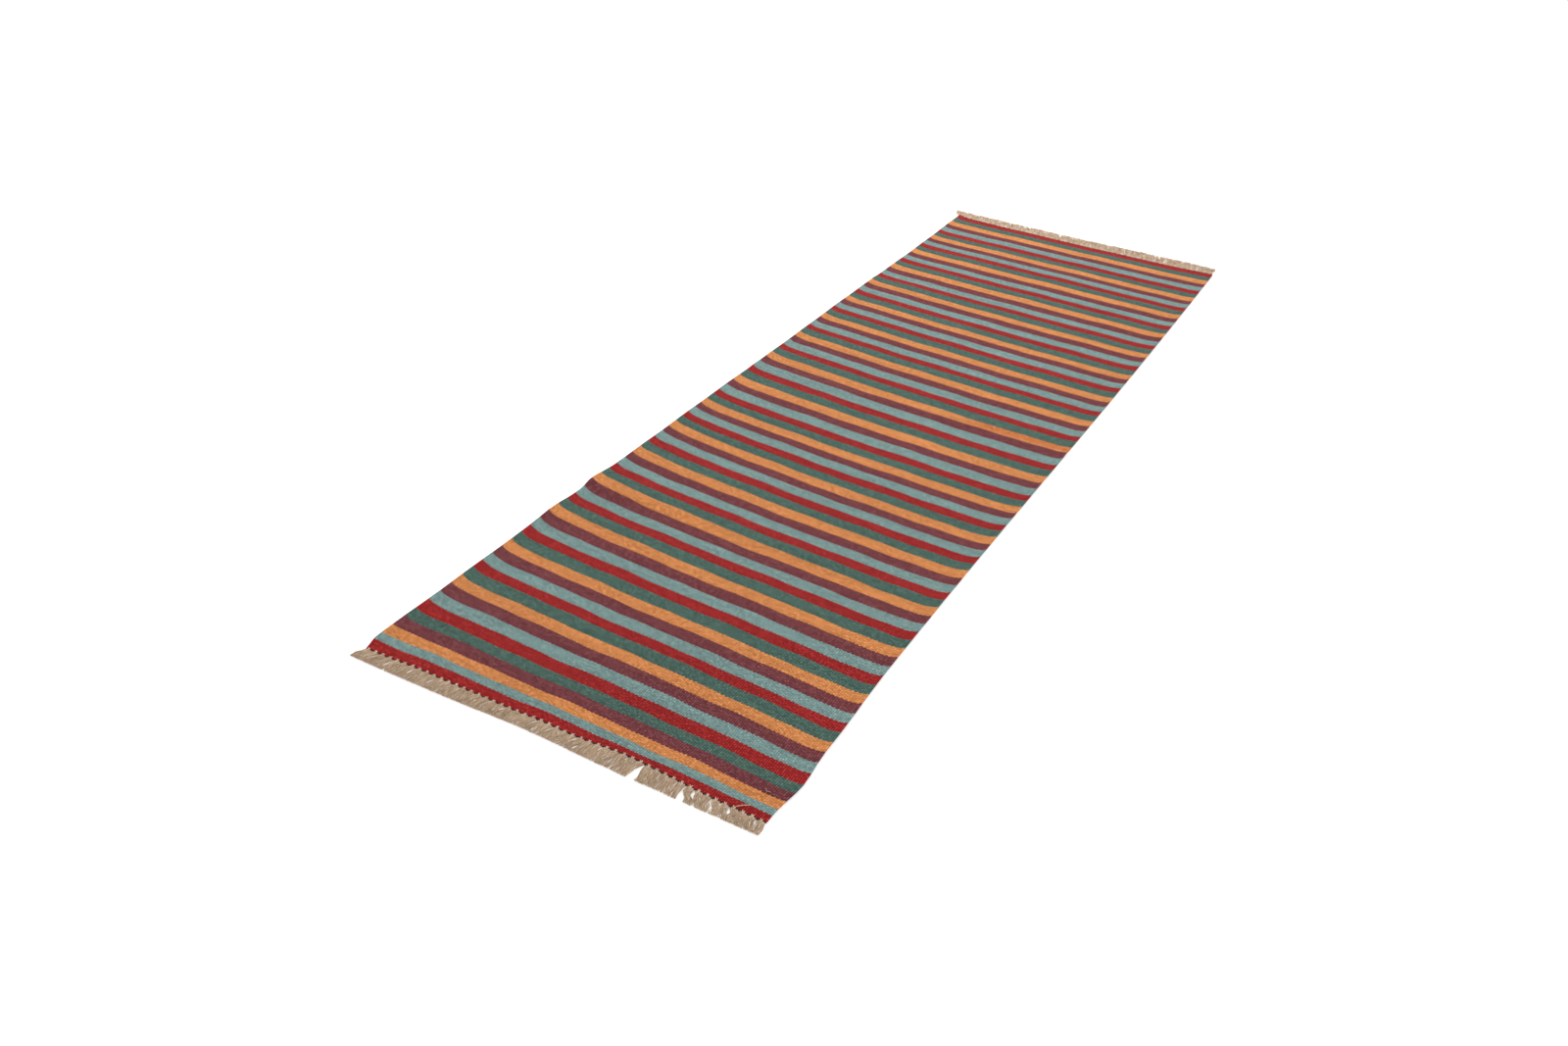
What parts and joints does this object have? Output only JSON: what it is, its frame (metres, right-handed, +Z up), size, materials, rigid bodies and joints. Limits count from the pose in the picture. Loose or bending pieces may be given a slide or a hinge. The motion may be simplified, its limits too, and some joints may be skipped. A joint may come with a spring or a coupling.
{
  "type": "runner rug",
  "caption": "Flat-woven striped runner rug: dyed weft bands over undyed warps, twined rows and fringe at both ends, and cross creases where it folds up.",
  "frame": {"origin": "on the floor, at the middle of the whole width and of the whole length with its fringes", "axes": "+Z up out of the face, +Y along the rug from its near end with the narrow border stripes to its far end, +X across it"},
  "size_m": [0.8, 2.708, 0.0036],
  "materials": {
    "red_weft": "matt hand-spun wool",
    "green_weft": "matt hand-spun wool",
    "orange_weft": "matt hand-spun wool",
    "plum_weft": "matt hand-spun wool",
    "teal_weft": "matt hand-spun wool",
    "natural_warp": "undyed plied yarn",
    "dark_twining": "dark plied wool"
  },
  "bodies": {
    "near_panel": {"red_weft_near": "red_weft", "green_weft_near": "green_weft", "orange_weft_near": "orange_weft", "plum_weft_near": "plum_weft", "teal_weft_near": "teal_weft", "warp_near": "natural_warp", "edge_warp_left_near": "natural_warp", "edge_warp_right_near": "natural_warp", "near_twining": "dark_twining", "near_fringe_left": "natural_warp", "near_fringe_middle": "natural_warp", "near_fringe_right": "natural_warp"},
    "near_middle_panel": {"red_weft_near_middle": "red_weft", "green_weft_near_middle": "green_weft", "orange_weft_near_middle": "orange_weft", "plum_weft_near_middle": "plum_weft", "teal_weft_near_middle": "teal_weft", "warp_near_middle": "natural_warp", "edge_warp_left_near_middle": "natural_warp", "edge_warp_right_near_middle": "natural_warp"},
    "far_middle_panel": {"red_weft_far_middle": "red_weft", "green_weft_far_middle": "green_weft", "orange_weft_far_middle": "orange_weft", "plum_weft_far_middle": "plum_weft", "teal_weft_far_middle": "teal_weft", "warp_far_middle": "natural_warp", "edge_warp_left_far_middle": "natural_warp", "edge_warp_right_far_middle": "natural_warp"},
    "far_panel": {"red_weft_far": "red_weft", "green_weft_far": "green_weft", "orange_weft_far": "orange_weft", "plum_weft_far": "plum_weft", "teal_weft_far": "teal_weft", "warp_far": "natural_warp", "edge_warp_left_far": "natural_warp", "edge_warp_right_far": "natural_warp", "far_twining": "dark_twining", "far_fringe": "natural_warp"}
  },
  "joints": [
    {"name": "near_quarter_fold", "type": "hinge", "parent": "near_middle_panel", "child": "near_panel", "pos_m": [0, -0.68817, 0.0085], "axis": [-1, 0, 0], "range_deg": [0, 180]},
    {"name": "centre_fold", "type": "hinge", "parent": "near_middle_panel", "child": "far_middle_panel", "pos_m": [0, 0.01673, 0.0175], "axis": [1, 0, 0], "range_deg": [0, 180]},
    {"name": "far_quarter_fold", "type": "hinge", "parent": "far_middle_panel", "child": "far_panel", "pos_m": [0, 0.69363, 0.0085], "axis": [1, 0, 0], "range_deg": [0, 180]}
  ]
}
